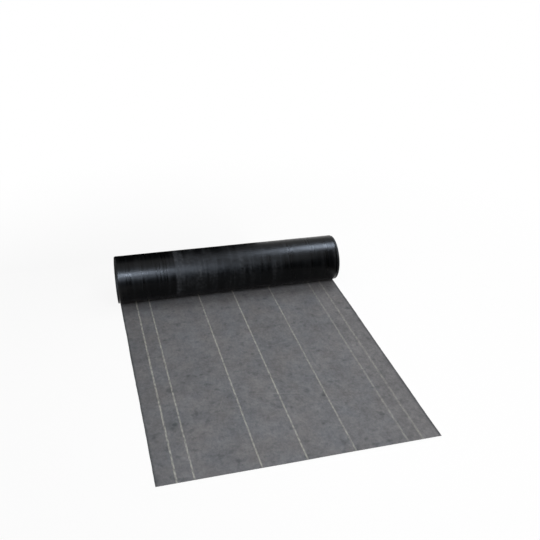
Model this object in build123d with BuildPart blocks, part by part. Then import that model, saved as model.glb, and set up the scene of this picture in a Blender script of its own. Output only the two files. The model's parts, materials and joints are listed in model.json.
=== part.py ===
"""Roll of asphalt roofing underlayment on a cardboard core, lying on its side with its free end laid out flat.

X runs along the roll, +Y runs from the free end of the sheet to the roll, and Z is up. The origin is on the floor,
under the middle of the footprint. All lengths are in millimetres.
"""

import math
import os

from build123d import *

# Membrane: one asphalt-coated mat, sold as a roll 36 in wide and 72 ft long
sheet_width = 914.4
stock_length = 21945.6
sheet_thickness = 1.05
winding_gap = 0.05
laid_length = 1055.0

# Winding: the turns wander a little from side to side, in groups, and show as steps on the roll's ends
turns_per_group = 4
flush_outer_turns = 2
winding_wander = 1.5
group_wander_shares = (0.3, -0.5, 0.1, 1.0, -0.2, 0.6, -1.0, -0.4, 0.45, -0.1, 0.75)

# Core: a spiral-wound cardboard tube with a 3 in bore
core_bore = 76.2
core_wall = 5.6
core_inset = 4.0
core_edge_break = 0.6
core_clearance = 0.3

# Sizes that follow from the ones above
turn_pitch = sheet_thickness + winding_gap
core_radius = core_bore / 2 + core_wall
core_length = sheet_width - 2 * core_inset
first_turn_radius = core_radius + core_clearance
wound_length = stock_length - laid_length
roll_radius = math.sqrt(first_turn_radius**2 + wound_length * turn_pitch / math.pi)
turn_count = (roll_radius - first_turn_radius) / turn_pitch
group_width = turns_per_group * turn_pitch
group_count = int((turn_count - flush_outer_turns) / turns_per_group)
grouped_radius = first_turn_radius + group_count * group_width

# The outer turn drops by one pitch on its way round, drawn as two half circles that meet at the top
back_radius = roll_radius - turn_pitch / 4
front_radius = back_radius - turn_pitch / 2
roll_top = 2 * back_radius

# The footprint is centred on the origin, from the free end to the back of the roll
free_end_y = -(laid_length + back_radius) / 2
axis_y = free_end_y + laid_length
roll_centre = (0, axis_y, roll_radius)
roll_axis = Axis(roll_centre, (1, 0, 0))
radial_plane = Plane(origin=roll_centre, x_dir=(1, 0, 0), z_dir=(0, -1, 0))
end_plane = Plane.YZ

with BuildPart() as membrane:
    # Wound body: every group of turns is a ring as wide as the sheet, turned about the roll's axis
    with BuildSketch(radial_plane) as wound_section:
        for group in range(group_count):
            share = group_wander_shares[group % len(group_wander_shares)]
            group_radius = first_turn_radius + (group + 0.5) * group_width
            with Locations((share * winding_wander, group_radius)):
                Rectangle(sheet_width, group_width)
    revolve(axis=roll_axis)

    # Outer turns: they run down the back of the roll, under it, and out along the floor as the laid sheet
    with BuildSketch(end_plane) as outer_turns_and_sheet:
        with BuildLine():
            Line((free_end_y, 0), (axis_y, 0))
            ThreePointArc((axis_y, 0), (axis_y + back_radius, back_radius), (axis_y, roll_top))
            ThreePointArc(
                (axis_y, roll_top),
                (axis_y - front_radius, turn_pitch + front_radius),
                (axis_y, turn_pitch),
            )
            Polyline(
                (axis_y, turn_pitch),
                (axis_y, sheet_thickness),
                (free_end_y, sheet_thickness),
                (free_end_y, 0),
            )
        make_face()
        with Locations((axis_y, roll_radius)):
            Circle(grouped_radius, mode=Mode.SUBTRACT)
    extrude(amount=sheet_width / 2, both=True)
membrane.part.label = "membrane"

with BuildPart() as core_tube:
    with BuildSketch(end_plane.offset(-core_length / 2)):
        with Locations((axis_y, roll_radius)):
            Circle(core_radius)
            Circle(core_bore / 2, mode=Mode.SUBTRACT)
    extrude(amount=core_length)
    chamfer(core_tube.edges().filter_by(GeomType.CIRCLE), length=core_edge_break)
core_tube.part.label = "core_tube"

os.makedirs("parts", exist_ok=True)
export_step(membrane.part, "parts/membrane.step")
export_step(core_tube.part, "parts/core_tube.step")
print(f"roll radius {roll_radius:.2f}, turns {turn_count:.1f}, groups {group_count}, axis at y {axis_y:.2f}")
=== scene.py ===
"""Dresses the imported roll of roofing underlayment: its laid sheet, its wound roll and its cardboard core.

The part lies in its own frame, in metres: X along the roll, +Y from the sheet's free end to the roll, Z up.
"""

from __future__ import annotations

import json
import logging
import math
from dataclasses import dataclass, field
from enum import Enum, IntEnum
from functools import cached_property
from typing import Any, ClassVar

import bmesh
import bpy
import numpy as np
from mathutils import Matrix, Vector

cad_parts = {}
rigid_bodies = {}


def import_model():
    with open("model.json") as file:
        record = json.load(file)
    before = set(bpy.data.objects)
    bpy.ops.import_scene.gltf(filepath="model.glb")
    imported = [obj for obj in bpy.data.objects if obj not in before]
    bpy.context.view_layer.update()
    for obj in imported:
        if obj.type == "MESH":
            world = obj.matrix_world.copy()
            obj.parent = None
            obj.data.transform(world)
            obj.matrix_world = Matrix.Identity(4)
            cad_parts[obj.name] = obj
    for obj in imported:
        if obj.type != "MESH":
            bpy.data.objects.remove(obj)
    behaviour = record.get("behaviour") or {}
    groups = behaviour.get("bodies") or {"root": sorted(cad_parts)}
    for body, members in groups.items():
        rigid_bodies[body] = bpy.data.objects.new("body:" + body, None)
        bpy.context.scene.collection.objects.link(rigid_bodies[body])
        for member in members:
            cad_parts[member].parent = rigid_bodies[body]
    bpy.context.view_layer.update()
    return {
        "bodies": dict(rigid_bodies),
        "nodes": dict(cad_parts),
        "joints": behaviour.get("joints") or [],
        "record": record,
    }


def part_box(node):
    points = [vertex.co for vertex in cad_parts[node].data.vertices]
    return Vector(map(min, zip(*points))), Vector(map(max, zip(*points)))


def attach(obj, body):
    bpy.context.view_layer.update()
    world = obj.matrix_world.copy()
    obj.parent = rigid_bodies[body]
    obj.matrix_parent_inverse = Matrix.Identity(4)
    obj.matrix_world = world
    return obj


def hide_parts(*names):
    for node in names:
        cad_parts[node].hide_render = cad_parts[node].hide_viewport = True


LOG = logging.getLogger("underlayment")

# Short names for the type hints
Material = bpy.types.Material
Piece = bpy.types.Object
Socket = bpy.types.NodeSocket
Key = str | int
Inputs = dict[Key, Any]
Pair = tuple[float, float]
Triple = tuple[float, float, float]

MM = 0.001
FULL_TURN = 2 * math.pi
BAKE_MAP = "OFBake"
WELD_DISTANCE = 0.002 * MM
SHARP_EDGE = math.radians(40)

# Blender's noise lies around this value
NOISE_MIDDLE = 0.5
# Ping-pong of this scale measures how far a number lies from the nearest whole one
HALF_STEP = 0.5
# Places of the two sides of a patch that is one face wide
BOTH_SIDES = np.array([0.0, 1.0])

# Sockets of the colour form of Blender's Mix node
MIX_FACTOR, MIX_A, MIX_B, MIX_RESULT = 0, 6, 7, 2


class Side(IntEnum):
    """The two ends of the roll, as signs along X."""

    LEFT = -1
    RIGHT = 1


class SheetFinish(IntEnum):
    """Material slots of the laid sheet."""

    MAT_FACE = 0
    FILM_BACK = 1
    CUT_EDGE = 2


class RollFinish(IntEnum):
    """Material slots of the wound roll."""

    FILM_BACK = 0
    WOUND_END = 1


class StripeEdge(Enum):
    """How a stripe fades out, with Blender's name for it."""

    STRAIGHT = "LINEAR"
    SOFT = "SMOOTHSTEP"


class Visibility(Enum):
    """Which rays meet a lamp or a stage piece."""

    ALL = "all"
    NOT_CAMERA = "all but the camera's"
    GLOSS_ONLY = "only those of gloss"
    DULL_ONLY = "only those of dull surfaces"


def srgb(hex_colour: str) -> tuple[float, float, float, float]:
    """Turns an sRGB hex colour into linear RGBA.

    Args:
        hex_colour: Six hex digits after a number sign.

    Returns:
        Linear red, green and blue, and an alpha of one.
    """
    parts = [int(hex_colour[i : i + 2], 16) / 255 for i in (1, 3, 5)]
    linear = [c / 12.92 if c <= 0.04045 else ((c + 0.055) / 1.055) ** 2.4 for c in parts]
    return (linear[0], linear[1], linear[2], 1.0)


class Pen:
    """Draws in the node tree of one material or world."""

    def __init__(self, owner: Material | bpy.types.World) -> None:
        """Takes up the owner's node tree and empties it.

        Args:
            owner: The material or the world.
        """
        owner.use_nodes = True
        self.tree = owner.node_tree
        self.tree.nodes.clear()

    def add(self, kind: str, inputs: Inputs | None = None, out: Key = 0, **settings: Any) -> Socket | None:
        """Adds one node with its settings, and sets or links its inputs.

        Args:
            kind: Blender's type name of the node, after ShaderNode.
            inputs: Input name or number to a value, or to the output socket that feeds it.
            out: Name or number of the output to hand back.
            settings: The node's own properties, by name.

        Returns:
            The chosen output, or nothing for a node that has none.
        """
        node = self.tree.nodes.new(f"ShaderNode{kind}")
        for name, value in settings.items():
            setattr(node, name, value)
        for key, value in (inputs or {}).items():
            if isinstance(value, Socket):
                self.tree.links.new(value, node.inputs[key])
            else:
                node.inputs[key].default_value = value
        return node.outputs[out] if len(node.outputs) else None

    def join(self, parts: list[Socket], operation: str) -> Socket:
        """Joins several values into one, two at a time.

        Args:
            parts: The values.
            operation: Blender's name of the sum that joins two of them.

        Returns:
            The joined value.
        """
        total = parts[0]
        for part in parts[1:]:
            total = self.add("Math", {0: total, 1: part}, operation=operation)
        return total

    @cached_property
    def coords(self) -> Socket:
        """Places on the piece in the part's own frame, in metres."""
        return self.add("TexCoord", out="Object")

    @cached_property
    def x(self) -> Socket:
        """Places along the roll, in metres from its middle."""
        return self.add("SeparateXYZ", {0: self.coords}, out="X")


def ease(share: np.ndarray) -> np.ndarray:
    """Eases shares from 0 to 1 in and out."""
    return share * share * (3 - 2 * share)


def fade(values: np.ndarray, start: float, end: float) -> np.ndarray:
    """Smooth step of an array, from 0 at the start to 1 at the end."""
    return ease(np.clip((values - start) / (end - start), 0, 1))


def smooth_noise(rows: np.ndarray, columns: np.ndarray, hump: Pair, seed: int) -> np.ndarray:
    """Smooth random relief over a grid of places.

    Args:
        rows: Places along the first direction.
        columns: Places along the second direction.
        hump: Size of a hump in the two directions.
        seed: Seed of the random draw.

    Returns:
        Heights from -1 to 1, one for each row and column.
    """
    steps = []
    for places, size in zip((rows, columns), hump):
        scaled = (places - places.min()) / size
        whole = np.floor(scaled).astype(int)
        steps.append((whole, ease(scaled - whole)))
    (row, row_part), (column, column_part) = steps
    lattice = np.random.default_rng(seed).uniform(-1, 1, (row.max() + 2, column.max() + 2))
    row, row_part = row[:, None], row_part[:, None]
    near = lattice[row, column] * (1 - column_part) + lattice[row, column + 1] * column_part
    far = lattice[row + 1, column] * (1 - column_part) + lattice[row + 1, column + 1] * column_part
    return near * (1 - row_part) + far * row_part


@dataclass(frozen=True)
class RollSizes:
    """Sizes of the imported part, in metres, that every piece is set out from."""

    axis_y: float
    axis_z: float
    bore_radius: float
    core_radius: float
    core_length: float
    free_end_y: float
    sheet_width: float = 914.4 * MM
    sheet_thickness: float = 1.05 * MM
    core_clearance: float = 0.3 * MM
    turns: int = 47

    @classmethod
    def from_frame(cls, frame: dict[str, Any]) -> RollSizes:
        """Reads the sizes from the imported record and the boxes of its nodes.


        Returns:
            The sizes.
        """
        bore = next(m for m in frame["record"]["mounts"] if m["name"] == "core_bore")
        core_low, core_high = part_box("core_tube")
        membrane_low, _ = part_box("membrane")
        return cls(
            axis_y=bore["pos_m"][1],
            axis_z=bore["pos_m"][2],
            bore_radius=bore["dims"]["r_mm"] * MM,
            core_radius=(core_high.z - core_low.z) / 2,
            core_length=core_high.x - core_low.x,
            free_end_y=membrane_low.y,
        )

    @property
    def roll_radius(self) -> float:
        """Outer radius where the sheet runs in under the roll."""
        return self.axis_z

    @property
    def pitch(self) -> float:
        """Radial step from one turn to the next, so that whole turns fill the roll."""
        return (self.roll_radius - self.core_radius - self.core_clearance) / (self.turns + 1)

    @property
    def laid_length(self) -> float:
        """Length of sheet on the floor, from the free end to the line under the roll's axis."""
        return self.axis_y - self.free_end_y

    @property
    def left_edge(self) -> float:
        """Place of the sheet's left edge along X."""
        return -self.sheet_width / 2

    @property
    def axis_point(self) -> Triple:
        """Middle of the roll's axis."""
        return (0.0, self.axis_y, self.axis_z)

    def round_axis(self, x: np.ndarray, radius: np.ndarray, angle: np.ndarray) -> np.ndarray:
        """Puts points round the roll's axis.

        Args:
            x: Places along the roll.
            radius: Distances from the axis.
            angle: Angles from the lowest line, rising at the back.

        Returns:
            Points, in the shape of the arguments by 3.
        """
        x, radius, angle = np.broadcast_arrays(x, radius, angle)
        y = self.axis_y + radius * np.sin(angle)
        z = self.axis_z - radius * np.cos(angle)
        return np.stack((x, y, z), axis=-1)

    def end_shares(self, face: np.ndarray, outer: float) -> np.ndarray:
        """Places of an end's points across and up the square that just holds it, from 0 to 1."""
        return np.moveaxis((1 + (face[..., 1:] - self.axis_point[1:]) / outer) / 2, -1, 0)


@dataclass(frozen=True)
class ChartBox:
    """A box of the bake map that takes one patch."""

    low: Pair
    high: Pair

    def lay(self, across: np.ndarray, along: np.ndarray) -> np.ndarray:
        """Lays a patch out in the box, by its places across and along it from 0 to 1."""
        shares = np.stack(np.broadcast_arrays(across, along), axis=-1)
        return self.low + shares * np.subtract(self.high, self.low)


@dataclass
class Patchwork:
    """Grid patches that together close the surface of one piece."""

    name: str
    patches: list[tuple[np.ndarray, np.ndarray, int]] = field(default_factory=list)

    def add(self, points: np.ndarray, chart: np.ndarray, finish: int = 0) -> None:
        """Adds rows by columns of points, with their places in the bake map and their material slot."""
        self.patches.append((points, chart, int(finish)))

    def make(self) -> Piece:
        """Welds the patches into one closed mesh.

        Returns:
            The piece, linked to the scene.
        """
        points = np.concatenate([patch.reshape(-1, 3) for patch, _, _ in self.patches])
        charts = np.concatenate([chart.reshape(-1, 2) for _, chart, _ in self.patches])
        quads, finishes, count = [], [], 0
        for patch, _, finish in self.patches:
            rows, columns = patch.shape[:2]
            index = np.arange(rows * columns).reshape(rows, columns) + count
            corners = (index[:-1, :-1], index[:-1, 1:], index[1:, 1:], index[1:, :-1])
            quads.append(np.stack(corners, axis=-1).reshape(-1, 4))
            finishes.append(np.full(len(quads[-1]), finish))
            count += rows * columns
        quads = np.concatenate(quads)
        mesh = bpy.data.meshes.new(self.name)
        mesh.from_pydata(points.tolist(), [], quads.tolist())
        mesh.polygons.foreach_set("material_index", np.concatenate(finishes))
        layer = mesh.uv_layers.new(name=BAKE_MAP)
        layer.data.foreach_set("uv", charts[quads.ravel()].ravel())
        work = bmesh.new()
        work.from_mesh(mesh)
        bmesh.ops.remove_doubles(work, verts=work.verts, dist=WELD_DISTANCE)
        bmesh.ops.recalc_face_normals(work, faces=work.faces)
        work.to_mesh(mesh)
        work.free()
        mesh.shade_smooth()
        mesh.set_sharp_from_angle(angle=SHARP_EDGE)
        piece = bpy.data.objects.new(self.name, mesh)
        bpy.context.scene.collection.objects.link(piece)
        return piece


@dataclass(frozen=True)
class Ramp:
    """How one value follows another: from start at low to end at high, and level beyond them."""

    low: float = 0.0
    high: float = 1.0
    start: float = 0.0
    end: float = 1.0

    def inputs(self, value: Socket) -> Inputs:
        """Inputs of a Map Range node that has this ramp."""
        return {"Value": value, 1: self.low, 2: self.high, 3: self.start, 4: self.end}


@dataclass(frozen=True)
class Cloud:
    """A cloudy pattern with patches of a real size."""

    size_mm: Triple
    strength: float = 1.0
    detail: float = 2.0
    seed: float = 0.0

    def draw(self, pen: Pen) -> Socket:
        """Adds the pattern's nodes.

        Args:
            pen: Draws in the material's tree.

        Returns:
            Values from about 0 to 1, around one half.
        """
        scale = [1 / (size * MM) for size in self.size_mm]
        shift = [self.seed] * len(scale)
        spread = pen.add("Mapping", {"Vector": pen.coords, "Scale": scale, "Location": shift})
        return pen.add("TexNoise", {"Vector": spread, "Scale": 1.0, "Detail": self.detail})

    def tone(self, pen: Pen) -> Socket:
        """Adds the pattern as a factor that lightens and darkens around one."""
        inputs = {0: self.draw(pen), 1: self.strength / NOISE_MIDDLE, 2: 1 - self.strength}
        return pen.add("Math", inputs, operation="MULTIPLY_ADD")


@dataclass(frozen=True)
class Stripe:
    """A stripe at a place from the left edge, with its strength, its half width and its soft edge."""

    across_mm: float
    strength: float
    half_mm: float
    blur_mm: float


@dataclass(frozen=True)
class Mark:
    """A mark on the sheet's face: its place from the left edge and the free end, and its shape."""

    across_mm: float
    along_mm: float
    half_width_mm: float
    half_length_mm: float
    depth: float
    turn_deg: float = 0.0


@dataclass(frozen=True)
class Finish:
    """A material drawn in the part's own coordinates, so that its patterns keep their real size."""

    name: ClassVar[str]

    sizes: RollSizes

    def surface(self, pen: Pen) -> Inputs:
        """Draws the patterns, and gives what goes into the shader by socket name."""
        raise NotImplementedError

    def slope(self, pen: Pen, stretch_mm: Pair, start: float, end: float) -> Socket:
        """Draws a value that goes from start to end over a stretch from the sheet's left edge."""
        low, high = (self.sizes.left_edge + mm * MM for mm in stretch_mm)
        return pen.add("MapRange", Ramp(low, high, start, end).inputs(pen.x))

    def stripe_mask(self, pen: Pen, x: Socket, stripes: tuple[Stripe, ...], edge: StripeEdge) -> Socket:
        """Draws stripes that run along the sheet.

        Args:
            pen: Draws in the material's tree.
            x: Place that is looked at, in metres from the sheet's middle.
            stripes: The stripes.
            edge: How they fade out.

        Returns:
            Strength of the stripes, 0 beside them.
        """
        masks = []
        for stripe in stripes:
            centre = self.sizes.left_edge + stripe.across_mm * MM
            offset = pen.add("Math", {0: x, 1: centre}, operation="SUBTRACT")
            distance = pen.add("Math", {0: offset}, operation="ABSOLUTE")
            full, gone = stripe.half_mm * MM, (stripe.half_mm + stripe.blur_mm) * MM
            band = Ramp(full, gone, stripe.strength, 0.0).inputs(distance)
            masks.append(pen.add("MapRange", band, interpolation_type=edge.value))
        return pen.join(masks, "MAXIMUM")

    def build(self) -> Material:
        """Makes the material.

        Returns:
            The finished material.
        """
        material = bpy.data.materials.new(self.name)
        pen = Pen(material)
        shader = pen.add("BsdfPrincipled", self.surface(pen))
        pen.add("OutputMaterial", {"Surface": shader})
        return material


@dataclass(frozen=True)
class MatFace(Finish):
    """Upper face of the sheet: polyester mat soaked in asphalt and dusted so that turns do not stick.

    The eye sees a dull slate grey, clouded where asphalt has bled through, with thin pale printed lines.
    """

    name = "asphalt_mat_face"

    cool_colour: str = "#67686B"
    warm_colour: str = "#6B6969"
    selvage_colour: str = "#2B2C2D"
    line_colour: str = "#D2D1C2"
    bleed_colour: str = "#303938"
    crease_colour: str = "#8B8B8A"
    roughness: float = 0.82
    specular: float = 0.3
    fibre_height_mm: float = 0.25
    selvage_mm: float = 11.0
    selvage_depth: float = 0.75
    # The face is darker along the left edge, and the darkening fades out over this stretch
    left_darkening_mm: Pair = (35.0, 110.0)
    left_darkening_depth: float = 0.12
    # The lap along the right edge is a little warmer, and turns so over this stretch
    warm_lap_mm: Pair = (784.4, 814.4)
    warm_lap_share: float = 0.8
    tint: Cloud = Cloud((90, 110, 100), 1.0, 3, 31.0)
    tint_ramp: Ramp = Ramp(0.3, 0.7)
    clouds: tuple[Cloud, ...] = (
        Cloud((150, 180, 160), 0.2, 2, 1.0),
        Cloud((56, 66, 60), 0.23, 2, 5.0),
        Cloud((21, 27, 24), 0.26, 2, 9.0),
        Cloud((8.5, 11, 9), 0.27, 2, 13.0),
    )
    # Fibres are about 0.02 mm wide; they are drawn over a hundred times as coarse so that the grain shows
    fibres: Cloud = Cloud((3.6, 4.2, 4.0), 0.2, 1, 17.0)
    bleed: Cloud = Cloud((30, 34, 30), 1.0, 3, 21.0)
    bleed_ramp: Ramp = Ramp(0.57, 0.8, 0.0, 0.6)
    # The ink has worn off in places, and the same pattern makes its lines wander
    ink_wear: Cloud = Cloud((5, 15, 5), 1.0, 2, 25.0)
    ink_ramp: Ramp = Ramp(0.34, 0.62, 0.25, 1.3)
    line_wander_mm: float = 0.8
    lines: tuple[Stripe, ...] = (
        Stripe(63, 0.335, 1.8, 2.2),
        Stripe(115.5, 0.3, 1.8, 1.8),
        Stripe(320.5, 0.29, 1.8, 1.8),
        Stripe(465, 0.29, 1.8, 1.8),
        Stripe(623, 0.23, 1.8, 1.8),
        Stripe(799.5, 0.145, 1.8, 3.2),
        Stripe(851, 0.14, 1.8, 3.6),
    )
    # A mark fades out from the first share of its outline's radius to the second
    mark_fade_shares: Pair = (0.2, 1.2)
    bleeds: tuple[Mark, ...] = (
        Mark(97, 252, 13, 12, 0.7),
        Mark(86, 235, 14, 12, 0.5, -12),
        Mark(89, 246, 26, 30, 0.3),
        Mark(228, 489, 11, 5, 0.55, 12),
        Mark(207, 484, 9, 5, 0.35, -30),
        Mark(613, 280, 9, 8, 0.55),
        Mark(660, 345, 14, 9, 0.3),
        Mark(436, 569, 8, 8, 0.45),
        Mark(405, 500, 8, 9, 0.3),
        Mark(246, 90, 13, 9, 0.35, 50),
        Mark(210, 70, 9, 8, 0.3),
        Mark(668, 551, 14, 6, 0.3),
        Mark(582, 450, 9, 9, 0.28),
        Mark(508, 982, 16, 6, 0.4),
        Mark(645, 500, 7, 60, 0.22),
    )
    creases: tuple[Mark, ...] = (
        Mark(462, 327, 112, 2.2, 0.3, -13),
        Mark(262, 318, 2.4, 46, 0.22, -24),
        Mark(560, 610, 70, 2.4, 0.2, 8),
        Mark(170, 715, 90, 2.2, 0.18, -6),
    )

    def line_mask(self, pen: Pen, wear: Socket) -> Socket:
        """Draws the lay lines, a little uneven and worn.

        Args:
            pen: Draws in the material's tree.
            wear: Wear of the ink, around one half.

        Returns:
            Ink from 0 to 1.
        """
        sway = self.line_wander_mm * MM
        aside = {0: wear, 1: sway, 2: -sway * NOISE_MIDDLE}
        place = pen.join([pen.x, pen.add("Math", aside, operation="MULTIPLY_ADD")], "ADD")
        ink = self.stripe_mask(pen, place, self.lines, StripeEdge.STRAIGHT)
        return pen.join([ink, pen.add("MapRange", self.ink_ramp.inputs(wear))], "MULTIPLY")

    def mark_mask(self, pen: Pen, marks: tuple[Mark, ...], ragged: Socket) -> Socket:
        """Draws marks as ragged, soft-edged ovals.

        Args:
            pen: Draws in the material's tree.
            marks: The marks.
            ragged: How far their outlines go in and out, around zero.

        Returns:
            Depth of the marks from 0 to 1.
        """
        left, near = self.sizes.left_edge, self.sizes.free_end_y
        masks = []
        for mark in marks:
            oval = {
                "Vector": pen.coords,
                "Location": (left + mark.across_mm * MM, near + mark.along_mm * MM, 0.0),
                "Rotation": (0.0, 0.0, math.radians(mark.turn_deg)),
                "Scale": (mark.half_width_mm * MM, mark.half_length_mm * MM, 1.0),
            }
            arm = pen.add("Mapping", oval, vector_type="TEXTURE")
            radius = pen.add("VectorMath", {0: arm}, out="Value", operation="LENGTH")
            spot = Ramp(*self.mark_fade_shares, mark.depth, 0.0).inputs(pen.join([radius, ragged], "ADD"))
            masks.append(pen.add("MapRange", spot, interpolation_type="SMOOTHSTEP"))
        return pen.join(masks, "MAXIMUM")

    def selvage_mask(self, pen: Pen, ragged: Socket) -> Socket:
        """Draws the uneven dark asphalt margin along both long edges, and the darkening along the left edge.

        Args:
            pen: Draws in the material's tree.
            ragged: How far the margin's side goes in and out, around zero.

        Returns:
            Depth of the margin and of the darkening along the left edge, from 0 to 1.
        """
        edge, width = self.sizes.sheet_width / 2, self.selvage_mm * MM
        distance = pen.add("Math", {0: pen.x}, operation="ABSOLUTE")
        uneven = pen.add("Math", {0: ragged, 1: width, 2: distance}, operation="MULTIPLY_ADD")
        margin = Ramp(edge - width, edge, 0.0, self.selvage_depth).inputs(uneven)
        # Darker along the left edge, fading out inwards
        left_darkening = self.slope(pen, self.left_darkening_mm, self.left_darkening_depth, 0.0)
        return pen.join([pen.add("MapRange", margin), left_darkening], "MAXIMUM")

    def surface(self, pen: Pen) -> Inputs:
        """Draws the clouded grey, then bleed, creases, selvage and lines over it.

        Args:
            pen: Draws in the material's tree.

        Returns:
            What goes into the shader, by socket name.
        """
        tint = pen.add("MapRange", self.tint_ramp.inputs(self.tint.draw(pen)))
        lap = self.slope(pen, self.warm_lap_mm, 0.0, self.warm_lap_share)
        hues = {
            MIX_FACTOR: pen.join([tint, lap], "MAXIMUM"),
            MIX_A: srgb(self.cool_colour),
            MIX_B: srgb(self.warm_colour),
        }
        hue = pen.add("Mix", hues, MIX_RESULT, data_type="RGBA")
        tones = [cloud.tone(pen) for cloud in (*self.clouds, self.fibres)]
        toned = {0: hue, "Scale": pen.join(tones, "MULTIPLY")}
        grey = pen.add("VectorMath", toned, operation="SCALE")

        bleed = self.bleed.draw(pen)
        ragged = pen.add("Math", {0: NOISE_MIDDLE, 1: bleed}, operation="SUBTRACT")
        patches = pen.add("MapRange", self.bleed_ramp.inputs(bleed))
        spots = self.mark_mask(pen, self.bleeds, ragged)
        layers = (
            (pen.join([patches, spots], "MAXIMUM"), self.bleed_colour),
            (self.mark_mask(pen, self.creases, ragged), self.crease_colour),
            (self.selvage_mask(pen, ragged), self.selvage_colour),
            (self.line_mask(pen, self.ink_wear.draw(pen)), self.line_colour),
        )
        for mask, colour in layers:
            inputs = {MIX_FACTOR: mask, MIX_A: grey, MIX_B: srgb(colour)}
            grey = pen.add("Mix", inputs, MIX_RESULT, data_type="RGBA")
        relief = {"Height": self.fibres.draw(pen), "Distance": self.fibre_height_mm * MM}
        return {
            "Base Color": grey,
            "Roughness": self.roughness,
            "Specular IOR Level": self.specular,
            "Normal": pen.add("Bump", relief),
        }


@dataclass(frozen=True)
class FilmBack(Finish):
    """Back face of the sheet, outermost on the roll: black asphalt under a smooth polymer film.

    The eye sees a deep black with bright soft highlights, streaked round the roll where it was drawn through
    rollers, and dull bands where the film is rubbed.
    """

    name = "black_film_back"

    colour: str = "#030303"
    haze_colour: str = "#2E2F31"
    ior: float = 1.5
    specular: float = 0.26
    roughness: float = 0.325
    streak_roughness: float = 0.37
    band_roughness: float = 0.18
    mottle_roughness: float = 0.36
    scuff_roughness: float = 0.09
    rub_roughness: float = 0.16
    streak_height_mm: float = 0.17
    dent_height_mm: float = 0.25
    # The film is scuffed from the first rubbed band to about two thirds across, and cleaner on either side
    scuffed_from_mm: Pair = (215.0, 245.0)
    scuffed_to_mm: Pair = (560.0, 760.0)
    streaks: Cloud = Cloud((7, 160, 160), 1.0, 2, 3.0)
    bands: Cloud = Cloud((26, 300, 300), 1.0, 1, 7.0)
    smears: Cloud = Cloud((40, 55, 55), 1.0, 3, 11.0)
    mottle: Cloud = Cloud((10, 12, 12), 1.0, 2, 19.0)
    dents: Cloud = Cloud((34, 22, 22), 1.0, 1, 15.0)
    # Dust lies where streaks and bands add up, and the clean stretches hold a share of it
    dust_ramp: Ramp = Ramp(0.98, 1.28, 0.0, 0.35)
    clean_dust_share: float = 0.35
    # Haze comes and goes in smears and in flecks
    smear_ramp: Ramp = Ramp(0.35, 0.65, 0.25, 1.4)
    fleck_ramp: Ramp = Ramp(0.35, 0.65, 0.4, 1.6)
    rubs: tuple[Stripe, ...] = (
        Stripe(233, 0.75, 6, 8),
        Stripe(250, 0.36, 5, 9),
        Stripe(283, 0.2, 9, 9),
        Stripe(366, 0.2, 7, 8),
        Stripe(494, 0.22, 7, 9),
        Stripe(640, 0.1, 6, 12),
        Stripe(896, 0.28, 1.5, 3),
    )

    def surface(self, pen: Pen) -> Inputs:
        """Draws the black film with its streaks, rubbed bands and dents.

        Args:
            pen: Draws in the material's tree.

        Returns:
            What goes into the shader, by socket name.
        """
        patterns = (self.streaks, self.bands, self.smears, self.mottle, self.dents)
        streaks, bands, smears, mottle, dents = (pattern.draw(pen) for pattern in patterns)
        ends = ((self.scuffed_from_mm, 0.0, 1.0), (self.scuffed_to_mm, 1.0, 0.0))
        scuffed = pen.join([self.slope(pen, *end) for end in ends], "MULTIPLY")
        rub = self.stripe_mask(pen, pen.x, self.rubs, StripeEdge.SOFT)

        # Haze: dust held in the streaks, less of it on the clean stretches, and the rubbed bands
        ramps = (
            self.dust_ramp.inputs(pen.join([streaks, bands], "ADD")),
            Ramp(start=self.clean_dust_share).inputs(scuffed),
            self.smear_ramp.inputs(smears),
            self.fleck_ramp.inputs(mottle),
        )
        dust, held, smeared, flecked = (pen.add("MapRange", ramp) for ramp in ramps)
        haze = pen.join([pen.join([dust, held], "MULTIPLY"), rub], "MAXIMUM")
        inputs = {
            MIX_FACTOR: pen.join([haze, smeared, flecked], "MULTIPLY"),
            MIX_A: srgb(self.colour),
            MIX_B: srgb(self.haze_colour),
        }
        black = pen.add("Mix", inputs, MIX_RESULT, data_type="RGBA")

        # Gloss: duller in the streaks, and duller still where it is scuffed and rubbed
        scuffs = self.scuff_roughness - (self.band_roughness + self.mottle_roughness) * NOISE_MIDDLE
        for pattern, amount in ((bands, self.band_roughness), (mottle, self.mottle_roughness)):
            scuffs = pen.add("Math", {0: pattern, 1: amount, 2: scuffs}, operation="MULTIPLY_ADD")
        rough = self.roughness - self.streak_roughness * NOISE_MIDDLE
        wear = ((streaks, self.streak_roughness), (scuffed, scuffs), (rub, self.rub_roughness))
        for place, amount in wear:
            rough = pen.add("Math", {0: place, 1: amount, 2: rough}, operation="MULTIPLY_ADD")

        # Relief: fine ridges round the roll over shallow dents
        dented = pen.add("Bump", {"Height": dents, "Distance": self.dent_height_mm * MM})
        ridges = {"Height": streaks, "Distance": self.streak_height_mm * MM, "Normal": dented}
        return {
            "Base Color": black,
            "Roughness": rough,
            "IOR": self.ior,
            "Specular IOR Level": self.specular,
            "Normal": pen.add("Bump", ridges),
        }


@dataclass(frozen=True)
class CutEdge(Finish):
    """Slit edge of the sheet: asphalt smeared by the knife, so a dull brownish black."""

    name = "asphalt_cut_edge"

    colour: str = "#1A1918"
    roughness: float = 0.6
    smears: Cloud = Cloud((14, 14, 14), 0.4, 2, 2.0)

    def surface(self, pen: Pen) -> Inputs:
        """Draws the smeared black.

        Args:
            pen: Draws in the material's tree.

        Returns:
            What goes into the shader, by socket name.
        """
        inputs = {0: srgb(self.colour)[:3], "Scale": self.smears.tone(pen)}
        black = pen.add("VectorMath", inputs, operation="SCALE")
        return {"Base Color": black, "Roughness": self.roughness}


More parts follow.
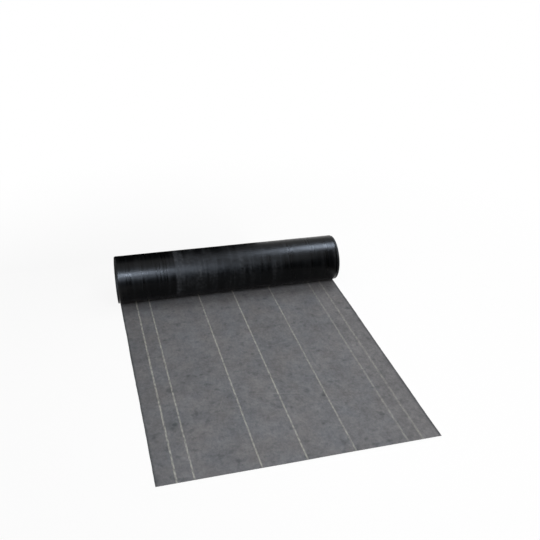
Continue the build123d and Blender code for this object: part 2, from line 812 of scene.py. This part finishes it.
@dataclass(frozen=True)
class WoundEnd(Finish):
    """Ends of the roll: the slit edges of every turn, black asphalt with a thread of grey mat in each.

    The eye sees close dark rings, some turns paler than others.
    """

    name = "asphalt_wound_end"

    asphalt_colour: str = "#0B0B0A"
    mat_colour: str = "#2B2A28"
    roughness: float = 0.68
    # Single turns are about 1 mm apart, too fine to show from afar, so their tones drift over a few turns
    turns_per_tone: float = 2.3
    tone_detail: float = 3.0
    tone_roughness: float = 0.7
    tone_ramp: Ramp = Ramp(0.35, 0.72, 0.05, 0.9)
    # From the groove between two turns to the middle of a turn
    thread_ramp: Ramp = Ramp(0.12, 0.4, 0.15, 1.0)
    dust: Cloud = Cloud((16, 16, 16), 0.35, 3, 4.0)

    def surface(self, pen: Pen) -> Inputs:
        """Draws the spiral of slit edges.

        Args:
            pen: Draws in the material's tree.

        Returns:
            What goes into the shader, by socket name.
        """
        arm = pen.add("VectorMath", {0: pen.coords, 1: self.sizes.axis_point}, operation="SUBTRACT")
        # Flat on the end, with Z counted down
        flat = pen.add("VectorMath", {0: arm, 1: (0.0, 1.0, -1.0)}, operation="MULTIPLY")
        radius = pen.add("VectorMath", {0: flat}, out="Value", operation="LENGTH")
        back = pen.add("SeparateXYZ", {0: flat}, out="Y")
        angle = pen.add("Math", {0: back, 1: back.node.outputs["Z"]}, operation="ARCTAN2")
        lap = pen.add("Math", {0: angle, 1: 1 / FULL_TURN}, operation="MULTIPLY")
        lap = pen.add("Math", {0: lap}, operation="FRACT")

        # Depth in turns from the outside, less the part of a lap already run, is whole along each slit edge
        depth = {0: radius, 1: -1 / self.sizes.pitch, 2: self.sizes.roll_radius / self.sizes.pitch}
        depth = pen.add("Math", depth, operation="MULTIPLY_ADD")
        turns = pen.add("Math", {0: depth, 1: lap}, operation="SUBTRACT")
        whole = pen.add("Math", {0: turns}, operation="FLOOR")
        drift = {
            "W": pen.join([whole, lap], "ADD"),
            "Scale": 1 / self.turns_per_tone,
            "Detail": self.tone_detail,
            "Roughness": self.tone_roughness,
        }
        drift = pen.add("TexNoise", drift, noise_dimensions="1D")
        pale = pen.add("MapRange", self.tone_ramp.inputs(drift))
        thread = pen.add("Math", {0: turns, 1: HALF_STEP}, operation="PINGPONG")
        mat = pen.add("MapRange", self.thread_ramp.inputs(thread))
        inputs = {
            MIX_FACTOR: pen.join([mat, pale, self.dust.tone(pen)], "MULTIPLY"),
            MIX_A: srgb(self.asphalt_colour),
            MIX_B: srgb(self.mat_colour),
        }
        colour = pen.add("Mix", inputs, MIX_RESULT, data_type="RGBA")
        return {"Base Color": colour, "Roughness": self.roughness}


@dataclass(frozen=True)
class KraftBoard(Finish):
    """Spiral-wound kraft paperboard: a matt tan tube with slanting seams and a fine fibrous fleck."""

    name = "kraft_paperboard"

    colour: str = "#B59B7C"
    seam_colour: str = "#6E5840"
    roughness: float = 0.85
    specular: float = 0.25
    seam_lead_mm: float = 105.0
    seam_width_mm: float = 1.6
    fibre_height_mm: float = 0.12
    # Depth of a seam, as a multiple of the fibre height
    seam_depth: float = 2.0
    clouds: tuple[Cloud, ...] = (
        Cloud((60, 30, 30), 0.12, 2, 6.0),
        Cloud((11, 5, 5), 0.16, 3, 10.0),
    )
    # Paper fibres are about 0.03 mm wide; the fleck is drawn coarser so that it shows
    fleck: Cloud = Cloud((4, 1.6, 1.6), 0.16, 1, 14.0)

    def seam_mask(self, pen: Pen) -> Socket:
        """Draws the slanting seams between the wound strips of paper.

        Args:
            pen: Draws in the material's tree.

        Returns:
            Seam from 0 to 1.
        """
        arm = pen.add("VectorMath", {0: pen.coords, 1: self.sizes.axis_point}, operation="SUBTRACT")
        x = pen.add("SeparateXYZ", {0: arm}, out="X")
        y, z = x.node.outputs["Y"], x.node.outputs["Z"]
        angle = pen.add("Math", {0: y, 1: z}, operation="ARCTAN2")
        lap = pen.add("Math", {0: angle, 1: 1 / FULL_TURN}, operation="MULTIPLY")
        leads = {0: x, 1: 1 / (self.seam_lead_mm * MM), 2: lap}
        leads = pen.add("Math", leads, operation="MULTIPLY_ADD")
        near = pen.add("Math", {0: leads, 1: HALF_STEP}, operation="PINGPONG")
        half = self.seam_width_mm / self.seam_lead_mm / 2
        return pen.add("MapRange", Ramp(half, 2 * half, 1.0, 0.0).inputs(near))

    def surface(self, pen: Pen) -> Inputs:
        """Draws the tan board with its seams and fleck.

        Args:
            pen: Draws in the material's tree.

        Returns:
            What goes into the shader, by socket name.
        """
        seam = self.seam_mask(pen)
        tones = [cloud.tone(pen) for cloud in (*self.clouds, self.fleck)]
        toned = {0: srgb(self.colour)[:3], "Scale": pen.join(tones, "MULTIPLY")}
        tan = pen.add("VectorMath", toned, operation="SCALE")
        inputs = {MIX_FACTOR: seam, MIX_A: tan, MIX_B: srgb(self.seam_colour)}
        height = {0: seam, 1: -self.seam_depth, 2: self.fleck.draw(pen)}
        height = pen.add("Math", height, operation="MULTIPLY_ADD")
        relief = {"Height": height, "Distance": self.fibre_height_mm * MM}
        return {
            "Base Color": pen.add("Mix", inputs, MIX_RESULT, data_type="RGBA"),
            "Roughness": self.roughness,
            "Specular IOR Level": self.specular,
            "Normal": pen.add("Bump", relief),
        }


@dataclass
class LaidSheet:
    """The stretch of sheet that is unrolled on the floor, nearly flat, with a little life in its edges."""

    sizes: RollSizes
    # The black film that it shares with the roll
    film: Material
    cell: float = 7.5 * MM
    ripple: float = 0.9 * MM
    ripple_hump: Pair = (190 * MM, 150 * MM)
    edge_lift: float = 1.1 * MM
    edge_reach: float = 45 * MM
    edge_hump: Pair = (130 * MM, 170 * MM)
    corner_lift: float = 1.0 * MM
    corner_reach: float = 110 * MM
    corner_from: float = -60 * MM
    corner_to: float = 230 * MM
    edge_wander: float = 0.6 * MM
    nick: float = 0.4 * MM
    nick_hump: Pair = (21 * MM, 21 * MM)
    pressed_from: float = 230 * MM
    pressed_to: float = 90 * MM
    # Each relief adds a number of its own to the seed
    seed: int = 36
    face_chart: ChartBox = ChartBox((0.01, 0.01), (0.84, 0.965))
    back_chart: ChartBox = ChartBox((0.86, 0.01), (0.99, 0.965))
    rim_charts: tuple[ChartBox, ...] = (
        ChartBox((0.01, 0.97), (0.99, 0.975)),
        ChartBox((0.01, 0.977), (0.99, 0.982)),
        ChartBox((0.01, 0.984), (0.99, 0.989)),
        ChartBox((0.01, 0.991), (0.99, 0.996)),
    )

    def free(self, y: np.ndarray) -> np.ndarray:
        """How free each row is to lift, in one column: not at all near the roll, fully further out."""
        return fade(self.sizes.axis_y - y, self.pressed_to, self.pressed_from)[:, None]

    def lift(self, x: np.ndarray, y: np.ndarray) -> np.ndarray:
        """How far the sheet stands off the floor.

        Args:
            x: Places of the columns.
            y: Places of the rows.

        Returns:
            Heights, rows by columns, none under the floor and none under the roll.
        """
        waves = self.ripple * (1 + smooth_noise(y, x, self.ripple_hump, self.seed)) / 2
        to_side = (self.sizes.sheet_width / 2 - np.abs(x))[None, :]
        to_end = (y - self.sizes.free_end_y)[:, None]
        lively = (1 + smooth_noise(y, x, self.edge_hump, self.seed + 1)) / 2
        curl = self.edge_lift * lively * (1 - fade(np.minimum(to_side, to_end), 0, self.edge_reach))
        rightward = fade(x, self.corner_from, self.corner_to)[None, :]
        corner = rightward * (1 - fade(to_end, 0, self.corner_reach))
        return (waves + curl + self.corner_lift * corner) * self.free(y)

    def aside(self, x: np.ndarray, y: np.ndarray) -> np.ndarray:
        """How far the sheet wanders sideways, with small nicks along its two long edges.

        Args:
            x: Places of the columns.
            y: Places of the rows.

        Returns:
            Shifts along X, rows by columns.
        """
        wander = self.edge_wander * smooth_noise(y, x[:1], self.edge_hump, self.seed + 2)
        wander = np.repeat(wander, len(x), axis=1)
        for rim, seed in ((0, self.seed + 3), (-1, self.seed + 4)):
            wander[:, rim] += self.nick * smooth_noise(y, x[:1], self.nick_hump, seed)[:, 0]
        return wander * self.free(y)

    def build(self) -> Piece:
        """Makes the sheet as a closed mesh.

        Returns:
            The piece.
        """
        sizes = self.sizes
        across = np.linspace(0, 1, round(sizes.sheet_width / self.cell) + 1)
        along = np.linspace(0, 1, round(sizes.laid_length / self.cell) + 1)
        x = sizes.left_edge + across * sizes.sheet_width
        y = sizes.free_end_y + along * sizes.laid_length
        low = np.zeros((len(y), len(x), 3))
        low[..., 0] = x + self.aside(x, y)
        low[..., 1] = y[:, None]
        low[..., 2] = self.lift(x, y)
        top = low + (0, 0, sizes.sheet_thickness)

        draft = Patchwork("laid_sheet")
        draft.add(top, self.face_chart.lay(across, along[:, None]), SheetFinish.MAT_FACE)
        draft.add(low, self.back_chart.lay(across, along[:, None]), SheetFinish.FILM_BACK)
        rims = (np.s_[0], np.s_[-1], np.s_[:, 0], np.s_[:, -1])
        for rim, chart in zip(rims, self.rim_charts):
            edge = np.stack((low[rim], top[rim]))
            length = np.linspace(0, 1, edge.shape[1])
            draft.add(edge, chart.lay(length, BOTH_SIDES[:, None]), SheetFinish.CUT_EDGE)
        return draft.make()

    def dress(self, piece: Piece) -> None:
        """Gives the sheet its finishes and its place on the part.

        Args:
            piece: The sheet's object.
        """
        for material in (MatFace(self.sizes).build(), self.film, CutEdge(self.sizes).build()):
            piece.data.materials.append(material)
        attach(piece, "root")
        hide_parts("membrane")


@dataclass
class WoundRoll:
    """The wound turns, one spiral from the sheet on the floor in to the core."""

    sizes: RollSizes
    # The black film that it shares with the laid sheet
    film: Material
    segments: int = 144
    cell: float = 7.6 * MM
    # Places across a turn's slit edge, from its outer face, as shares of the pitch
    station_shares: tuple[float, ...] = (0.0, 0.14, 0.5, 0.86)
    crown_share: float = 0.5
    crown: float = 0.06 * MM
    groove_depth: float = 0.45 * MM
    rim_round: float = 0.25 * MM
    seam_laps: float = 0.03
    # Groups of turns have wandered by these shares of the wander, and each group changes over its middle
    wander: float = 1.5 * MM
    wander_shares: tuple[float, ...] = (
        0.0, 0.75, -0.1, 0.45, -0.4, -1.0, 0.6, -0.2, 1.0, 0.1, -0.5, 0.3
    )
    change_shares: Pair = (0.35, 0.65)
    # Turns jitter too, with humps of a part of a turn, and the outer ones lie flush until these turns
    turn_jitter: float = 0.22 * MM
    jitter_hump: Pair = (0.6, 1.0)
    flush_turns: Pair = (1.0, 3.2)
    # The outer turn has slid to the left on its way round, and the turns under it come back
    slip: float = 8.0 * MM
    slip_turns: Pair = (0.1, 0.8)
    return_turns: Pair = (1.1, 2.4)
    ridge: float = 0.12 * MM
    ridge_hump: Pair = (260 * MM, 17 * MM)
    dent: float = 0.6 * MM
    dent_hump: Pair = (95 * MM, 110 * MM)
    firm_end: float = 22 * MM
    firm_arc: float = 0.55
    # Each relief adds a number of its own to the seed
    seed: int = 72
    outer_chart: ChartBox = ChartBox((0.01, 0.01), (0.99, 0.54))
    left_chart: ChartBox = ChartBox((0.015, 0.56), (0.435, 0.98))
    right_chart: ChartBox = ChartBox((0.455, 0.56), (0.875, 0.98))
    bore_chart: ChartBox = ChartBox((0.89, 0.56), (0.99, 0.96))
    start_chart: ChartBox = ChartBox((0.01, 0.985), (0.87, 0.99))
    stop_chart: ChartBox = ChartBox((0.89, 0.97), (0.99, 0.99))

    def shift(self, turn: np.ndarray) -> np.ndarray:
        """How far a turn has wandered along the roll.

        Args:
            turn: Turns run from the outside, with parts of a turn.

        Returns:
            Shift along X.
        """
        shares = np.array(self.wander_shares)
        last = len(shares) - 1
        _, flush = self.flush_turns
        steps = np.clip((turn - flush) / (self.sizes.turns - flush) * last + 1, 0, last)
        whole = np.minimum(np.floor(steps).astype(int), last - 1)
        step = fade(steps - whole, *self.change_shares)
        drift = shares[whole] * (1 - step) + shares[whole + 1] * step
        jitter = smooth_noise(turn.ravel(), np.zeros(1), self.jitter_hump, self.seed).reshape(turn.shape)
        loose = fade(turn, *self.flush_turns)
        slip = self.slip * fade(turn, *self.slip_turns) * (1 - fade(turn, *self.return_turns))
        return (self.wander * drift + self.turn_jitter * jitter) * loose - slip

    def radius(self, turn: np.ndarray) -> np.ndarray:
        """Radius of the spiral after a number of turns from the outside."""
        return self.sizes.roll_radius - self.sizes.pitch * turn

    def relief(self, x: np.ndarray, angle: np.ndarray) -> np.ndarray:
        """Ridges round the roll and shallow dents in its outer turn, none near its ends or the floor.

        Args:
            x: Places along the roll.
            angle: Angles of the rows.

        Returns:
            Heights, rows by columns.
        """
        arc = angle * self.sizes.roll_radius
        ridges = self.ridge * smooth_noise(arc, x, self.ridge_hump, self.seed + 1)
        dents = self.dent * (smooth_noise(arc, x, self.dent_hump, self.seed + 2) - 1) / 2
        firm_x = fade(self.sizes.sheet_width / 2 - np.abs(x), 0, self.firm_end)
        firm_angle = fade(np.minimum(angle, FULL_TURN - angle), 0, self.firm_arc)
        return (ridges + dents) * firm_x[None, :] * firm_angle[:, None]

    def end_face(self, side: Side, angle: np.ndarray) -> np.ndarray:
        """Slit edges of all turns on one end, with a groove between each turn and the next.

        Args:
            side: Which end.
            angle: Angles of the rows.

        Returns:
            Points, rows by stations by 3.
        """
        turns = self.sizes.turns
        whole = np.append(np.repeat(np.arange(turns), len(self.station_shares)), turns)
        share = np.append(np.tile(self.station_shares, turns), 0.0)
        lap = angle[:, None] / FULL_TURN
        run = whole + lap
        edge = side * self.shift(run)
        before = side * self.shift(np.maximum(run - 1, 0))
        groove = np.minimum(edge, before) - self.groove_depth
        rim = edge - self.rim_round
        crowned = edge + self.crown * (share == self.crown_share)

        # The outer turn's rim runs on, under the roll, as the first groove
        starting = (whole == 1) * (1 - fade(lap, 0, self.seam_laps))
        groove = groove + (rim - groove) * starting
        out = np.where(share == 0, groove, crowned)
        out[:, 0] = rim[:, 0]
        x = side * (self.sizes.sheet_width / 2 + out)
        return self.sizes.round_axis(x, self.radius(run + share), angle[:, None])

    def build(self) -> Piece:
        """Makes the roll as a closed mesh.

        Returns:
            The piece.
        """
        sizes = self.sizes
        angle = np.linspace(0, FULL_TURN, self.segments + 1)
        lap = angle / FULL_TURN
        left = self.end_face(Side.LEFT, angle)
        right = self.end_face(Side.RIGHT, angle)
        across = np.linspace(0, 1, round(sizes.sheet_width / self.cell) + 1)
        x = sizes.left_edge + across[1:-1] * sizes.sheet_width
        draft = Patchwork("wound_roll")

        # Outer turn
        slid = x + self.shift(lap)[:, None]
        skin = sizes.round_axis(slid, self.radius(lap)[:, None] + self.relief(x, angle), angle[:, None])
        outer = np.concatenate((left[:, :1], skin, right[:, :1]), axis=1)
        draft.add(outer, self.outer_chart.lay(across, lap[:, None]), RollFinish.FILM_BACK)

        # Ends
        for face, chart in ((left, self.left_chart), (right, self.right_chart)):
            laid = chart.lay(*sizes.end_shares(face, sizes.roll_radius))
            draft.add(face, laid, RollFinish.WOUND_END)

        # Bore, and the steps where the spiral starts and ends
        bore = np.stack((left[:, -1], right[:, -1]), axis=1)
        draft.add(bore, self.bore_chart.lay(BOTH_SIDES, lap[:, None]), RollFinish.WOUND_END)
        stations = np.append(self.station_shares, 1.0)
        count = len(stations)
        slid = x + self.shift(stations * (stations == 1))[:, None]
        start = sizes.round_axis(slid, self.radius(stations)[:, None], np.zeros((count, 1)))
        start = np.concatenate((left[0, :count, None], start, right[0, :count, None]), axis=1)
        draft.add(start, self.start_chart.lay(across, stations[:, None]), RollFinish.WOUND_END)
        stop = np.stack((left[-1, -count:], right[-1, -count:]), axis=1)
        draft.add(stop, self.stop_chart.lay(BOTH_SIDES, stations[:, None]), RollFinish.WOUND_END)
        return draft.make()

    def dress(self, piece: Piece) -> None:
        """Gives the roll its finishes and its place on the part.

        Args:
            piece: The roll's object.
        """
        for material in (self.film, WoundEnd(self.sizes).build()):
            piece.data.materials.append(material)
        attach(piece, "root")
        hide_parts("membrane")


@dataclass
class KraftCore:
    """The cardboard tube that the sheet is wound on, with its plies showing on its ends."""

    sizes: RollSizes
    segments: int = 96
    columns: int = 60
    plies: int = 7
    # Places across a ply, as shares of its thickness
    station_shares: tuple[float, ...] = (0.0, 0.25, 0.75)
    groove_depth: float = 0.18 * MM
    edge_break: float = 0.6 * MM
    swell: float = 0.12 * MM
    swell_hump: Pair = (70 * MM, 120 * MM)
    seed: int = 3
    left_chart: ChartBox = ChartBox((0.01, 0.57), (0.41, 0.97))
    right_chart: ChartBox = ChartBox((0.43, 0.57), (0.83, 0.97))
    bore_chart: ChartBox = ChartBox((0.01, 0.01), (0.99, 0.33))
    outer_chart: ChartBox = ChartBox((0.01, 0.35), (0.99, 0.54))

    def end_stations(self) -> tuple[np.ndarray, np.ndarray]:
        """Profile of one end, from the bore to the outside.

        Returns:
            Radii, and how far each lies inside the end.
        """
        shares = np.array(self.station_shares)
        steps = np.append((np.arange(self.plies)[:, None] + shares).ravel(), self.plies) / self.plies
        radius = self.sizes.bore_radius + steps * (self.sizes.core_radius - self.sizes.bore_radius)
        inset = np.zeros_like(steps)
        inset[:: len(shares)] = self.groove_depth
        inset[[0, -1]] = self.edge_break
        return radius, inset

    def build(self) -> Piece:
        """Makes the tube as a closed mesh.

        Returns:
            The piece.
        """
        sizes = self.sizes
        lap = np.linspace(0, 1, self.segments + 1)
        # Round from the top
        angle = (math.pi - FULL_TURN * lap)[:, None]
        radius, inset = self.end_stations()
        draft = Patchwork("kraft_core")
        faces = []
        for side, chart in ((Side.LEFT, self.left_chart), (Side.RIGHT, self.right_chart)):
            face = sizes.round_axis(side * (sizes.core_length / 2 - inset), radius, angle)
            draft.add(face, chart.lay(*sizes.end_shares(face, sizes.core_radius)))
            faces.append(face)

        # Bore and outside, a little swollen into the board so that neither grows past its size
        left, right = faces
        across = np.linspace(0, 1, self.columns + 1)
        length = sizes.core_length - 2 * self.edge_break
        x = across[1:-1] * length - length / 2
        walls = (
            (0, sizes.bore_radius, self.swell, self.bore_chart),
            (-1, sizes.core_radius, -self.swell, self.outer_chart),
        )
        for station, wall, swell, chart in walls:
            noise = smooth_noise(FULL_TURN * lap[:-1] * wall, x, self.swell_hump, self.seed)
            noise = np.concatenate((noise, noise[:1]))
            skin = sizes.round_axis(x, wall + swell * (noise + 1) / 2, angle)
            skin = np.concatenate((left[:, station, None], skin, right[:, station, None]), axis=1)
            draft.add(skin, chart.lay(across, lap[:, None]))
        return draft.make()

    def dress(self, piece: Piece) -> None:
        """Gives the tube its finish and its place on the part.

        Args:
            piece: The tube's object.
        """
        piece.data.materials.append(KraftBoard(self.sizes).build())
        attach(piece, "root")
        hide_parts("core_tube")


@dataclass(frozen=True)
class SoftLamp:
    """A round soft box, set out from one end of the roll's axis."""

    name: str
    side: Side
    towards: Triple
    distance: float
    diameter: float
    # Its share of the light on a level white card in the middle of the sheet
    level: float

    def build(self, sizes: RollSizes, seen: Visibility, colour: str) -> Piece:
        """Makes the lamp.

        Args:
            sizes: Sizes of the part.
            seen: Which rays meet it.
            colour: Colour of its light.

        Returns:
            The lamp's object.
        """
        target = Vector((self.side * sizes.sheet_width / 2, sizes.axis_y, sizes.axis_z))
        place = target + Vector(self.towards).normalized() * self.distance
        aim = (target - place).normalized()
        card = Vector((0, sizes.free_end_y + sizes.laid_length / 2, 0)) - place
        spread = card.normalized().dot(aim) * -card.normalized().z
        data = bpy.data.lights.new(self.name, "AREA")
        data.shape = "DISK"
        data.size = self.diameter
        data.color = srgb(colour)[:3]
        data.energy = self.level * math.pi**2 * card.length_squared / spread
        lamp = bpy.data.objects.new(self.name, data)
        lamp.location = place
        lamp.rotation_mode = "QUATERNION"
        lamp.rotation_quaternion = aim.to_track_quat("-Z", "Y")
        lamp.visible_diffuse = seen is not Visibility.GLOSS_ONLY
        lamp.visible_glossy = seen is not Visibility.DULL_ONLY
        bpy.context.scene.collection.objects.link(lamp)
        return lamp


@dataclass(frozen=True)
class BlackFlag:
    """A standing black felt screen for dark reflections, set out from the line under the roll's axis."""

    name: str
    seen: Visibility
    start: Pair
    end: Pair
    height: float

    def corners(self, sizes: RollSizes) -> list[Triple]:
        """The screen's four corners, in order round it."""
        (x0, y0), (x1, y1) = ((x, sizes.axis_y + y) for x, y in (self.start, self.end))
        return [(x0, y0, 0.0), (x1, y1, 0.0), (x1, y1, self.height), (x0, y0, self.height)]


@dataclass(frozen=True)
class PhotoCamera:
    """The camera at the photograph's viewing angle, set out from the line under the roll's axis."""

    place: Triple = (-0.602, -2.617, 1.5965)
    yaw_deg: float = 16.63
    pitch_deg: float = 29.28
    roll_deg: float = -2.08
    lens_mm: float = 48.92
    sensor_mm: float = 36.0

    def build(self, sizes: RollSizes) -> Piece:
        """Makes the camera and looks through it.

        Args:
            sizes: Sizes of the part.

        Returns:
            The camera's object.
        """
        data = bpy.data.cameras.new("camera")
        data.sensor_width = self.sensor_mm
        data.lens = self.lens_mm
        camera = bpy.data.objects.new("camera", data)
        pose = Matrix.Translation(Vector(self.place) + Vector((0, sizes.axis_y, 0)))
        # A camera that isn't turned looks straight down
        for degrees, axis in ((-self.yaw_deg, "Z"), (90 - self.pitch_deg, "X"), (-self.roll_deg, "Z")):
            pose = pose @ Matrix.Rotation(math.radians(degrees), 4, axis)
        camera.matrix_world = pose
        bpy.context.scene.collection.objects.link(camera)
        bpy.context.scene.camera = camera
        return camera


@dataclass(frozen=True)
class Studio:
    """A white floor in a pale room, soft boxes, black screens, and the camera."""

    sizes: RollSizes
    floor_side: float = 60.0
    floor_drop: float = 0.3 * MM
    floor_colour: str = "#F6F6F6"
    # The floor is lifted towards white, all the more away from the part
    floor_glow: Ramp = Ramp(0.9, 2.2, 0.9, 1.0)
    # The room is white round the horizon, as a white sweep is, and dimmer overhead
    room_colour: str = "#FFFFFF"
    room_level: Ramp = Ramp(0.12, 0.4, 1.0, 0.5)
    # Lamps that only gloss shows make the highlights, and are a little cool, as daylight is
    gloss_colour: str = "#DDEBFF"
    gloss_lamps: tuple[SoftLamp, ...] = (
        SoftLamp("front_soft_box", Side.LEFT, (-0.05, -0.715, 0.695), 1.8, 0.68, 1.42),
        SoftLamp("overhead_soft_box", Side.RIGHT, (0.28, 0.02, 0.96), 1.5, 0.62, 0.46),
    )
    # Lamps that only dull surfaces show give the sheet its even light
    dull_colour: str = "#FFFFFF"
    dull_lamps: tuple[SoftLamp, ...] = (
        SoftLamp("rear_soft_box", Side.RIGHT, (0.3, 0.2, 0.93), 1.9, 1.4, 0.18),
        SoftLamp("fill_soft_box", Side.RIGHT, (-0.03, -0.7, 0.715), 2.1, 0.9, 0.28),
    )
    felt_colour: str = "#0A0A0A"
    flags: tuple[BlackFlag, ...] = (
        BlackFlag("front_left_flag", Visibility.GLOSS_ONLY, (-2.0, -1.25), (0.5, -1.25), 1.3),
        BlackFlag("front_right_flag", Visibility.GLOSS_ONLY, (0.5, -1.25), (2.0, -1.25), 0.75),
        BlackFlag("side_flag", Visibility.GLOSS_ONLY, (0.47, -1.25), (0.47, -0.1), 0.34),
        BlackFlag("rear_flag", Visibility.NOT_CAMERA, (-1.2, 0.32), (0.2, 0.32), 0.95),
    )
    camera: PhotoCamera = PhotoCamera()

    def plane(self, name: str, corners: list[Triple], seen: Visibility, material: Material) -> Piece:
        """Makes a flat stage piece.

        Args:
            name: Name of the piece.
            corners: Its four corners.
            seen: Which rays meet it.
            material: Its material.

        Returns:
            The piece.
        """
        mesh = bpy.data.meshes.new(name)
        mesh.from_pydata(corners, [], [(0, 1, 2, 3)])
        mesh.materials.append(material)
        piece = bpy.data.objects.new(name, mesh)
        piece.visible_camera = seen is Visibility.ALL
        piece.visible_diffuse = seen is not Visibility.GLOSS_ONLY
        piece.visible_shadow = seen is not Visibility.GLOSS_ONLY
        piece.visible_transmission = seen is not Visibility.GLOSS_ONLY
        bpy.context.scene.collection.objects.link(piece)
        return piece

    def paper(self) -> Material:
        """Makes the floor's matt white paper, lifted towards white where it is seen, with shadows kept.

        Returns:
            The material.
        """
        material = bpy.data.materials.new("white_paper")
        pen = Pen(material)
        seen = pen.add("LightPath", out="Is Camera Ray")
        rays = [seen.node.outputs[f"Is {kind} Ray"] for kind in ("Camera", "Glossy", "Transmission")]
        reach = pen.add("VectorMath", {0: pen.coords}, out="Value", operation="LENGTH")
        rise = self.floor_glow.inputs(reach)
        lifted = pen.add("MapRange", rise, interpolation_type="SMOOTHSTEP")
        glow = pen.join([pen.join(rays, "MAXIMUM"), lifted], "MULTIPLY")
        dull = pen.add("BsdfDiffuse", {"Color": srgb(self.floor_colour)})
        white = pen.add("Emission", {"Strength": 1.0})
        surface = pen.add("MixShader", {0: glow, 1: dull, 2: white})
        pen.add("OutputMaterial", {"Surface": surface})
        return material

    def felt(self) -> Material:
        """Makes the screens' black felt, which gives back almost no light.

        Returns:
            The material.
        """
        material = bpy.data.materials.new("black_felt")
        pen = Pen(material)
        dull = pen.add("BsdfDiffuse", {"Color": srgb(self.felt_colour)})
        pen.add("OutputMaterial", {"Surface": dull})
        return material

    def room(self) -> None:
        """Lights the room from all sides, whiter round the horizon than overhead."""
        world = bpy.data.worlds.new("pale_room")
        pen = Pen(world)
        towards = pen.add("TexCoord", out="Generated")
        height = pen.add("SeparateXYZ", {0: towards}, out="Z")
        fall = self.room_level.inputs(height)
        level = pen.add("MapRange", fall, interpolation_type="SMOOTHSTEP")
        light = pen.add("Background", {"Color": srgb(self.room_colour), "Strength": level})
        pen.add("OutputWorld", {"Surface": light})
        bpy.context.scene.world = world

    def build(self) -> None:
        """Sets up the floor, the screens, the room, the lamps and the camera."""
        half, low = self.floor_side / 2, -self.floor_drop
        floor = [(-half, -half, low), (half, -half, low), (half, half, low), (-half, half, low)]
        self.plane("floor", floor, Visibility.ALL, self.paper())
        felt = self.felt()
        for flag in self.flags:
            self.plane(flag.name, flag.corners(self.sizes), flag.seen, felt)
        self.room()
        for lamp in self.gloss_lamps:
            lamp.build(self.sizes, Visibility.GLOSS_ONLY, self.gloss_colour)
        for lamp in self.dull_lamps:
            lamp.build(self.sizes, Visibility.DULL_ONLY, self.dull_colour)
        self.camera.build(self.sizes)
        bpy.context.scene.view_settings.view_transform = "Standard"


def main() -> None:
    """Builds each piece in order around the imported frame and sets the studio."""
    logging.basicConfig(level=logging.INFO, format="%(name)s: %(message)s")
    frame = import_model()
    sizes = RollSizes.from_frame(frame)
    film = FilmBack(sizes).build()
    for assembly in (LaidSheet(sizes, film), WoundRoll(sizes, film), KraftCore(sizes)):
        piece = assembly.build()
        assembly.dress(piece)
        LOG.info("%s has %d faces", piece.name, len(piece.data.polygons))
    Studio(sizes).build()


if __name__ == "__main__":
    main()
